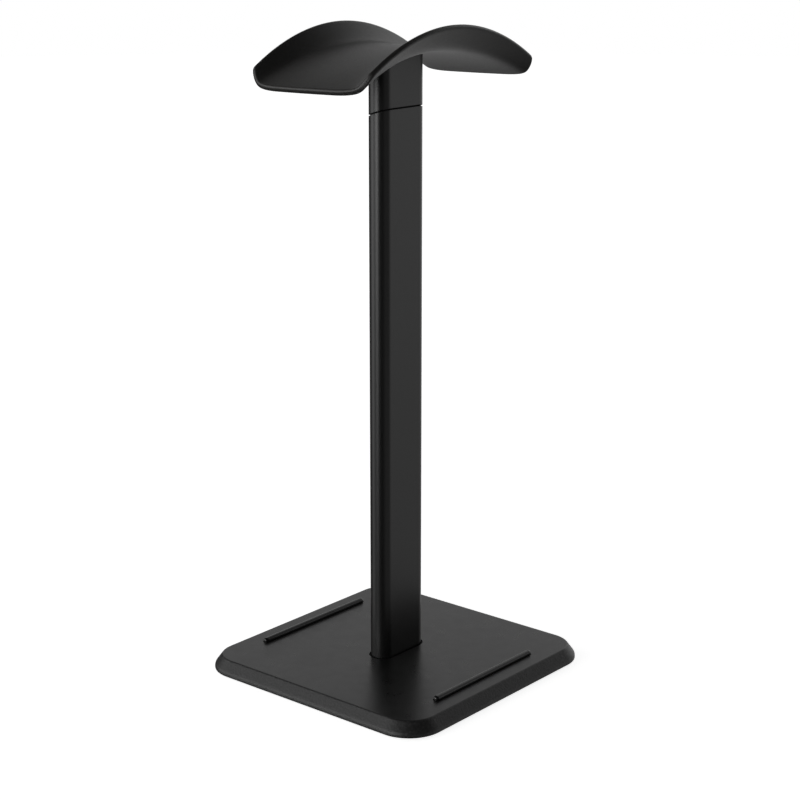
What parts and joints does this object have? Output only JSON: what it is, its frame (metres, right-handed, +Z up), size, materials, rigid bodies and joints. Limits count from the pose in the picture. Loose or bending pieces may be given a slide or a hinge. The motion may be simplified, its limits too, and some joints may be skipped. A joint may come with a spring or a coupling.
{
  "type": "headphone stand",
  "caption": "Free-standing headphone stand: saddle cradle on a flat-oval pole and a weighted square base.",
  "frame": {"origin": "on the floor, centred under the pole and the base", "axes": "+Z up, X along the pole's broad side, the rest strips and the headband, Y across the saddle"},
  "size_m": [0.12, 0.12, 0.2747],
  "materials": {
    "soft_touch": "matte soft-touch thermoplastic with a very fine grain",
    "textured_plastic": "fine spark-eroded texture",
    "satin_plastic": "satin moulded plastic",
    "base_plastic": "satin top, fine-textured bevel and edge",
    "anodised": "satin black anodised extrusion",
    "strip_rubber": "smooth soft rubber, slightly glossy",
    "foot_rubber": "matte rubber",
    "brass": "machined",
    "zinc_steel": "zinc-plated",
    "ballast_steel": "rolled plate"
  },
  "bodies": {
    "root": {"saddle_skin": "soft_touch", "saddle_core": "satin_plastic", "neck_insert": "brass", "pole_tube": "anodised", "pole_gasket": "foot_rubber", "tie_bolt": "zinc_steel", "base_cover": "base_plastic", "rest_strip_front": "strip_rubber", "rest_strip_back": "strip_rubber", "ballast_plate": "ballast_steel", "clamp_plate": "zinc_steel", "base_plate": "textured_plastic", "base_screw_1": "zinc_steel", "base_screw_2": "zinc_steel", "base_screw_3": "zinc_steel", "base_screw_4": "zinc_steel", "foot_1": "foot_rubber", "foot_2": "foot_rubber", "foot_3": "foot_rubber", "foot_4": "foot_rubber"}
  },
  "joints": []
}
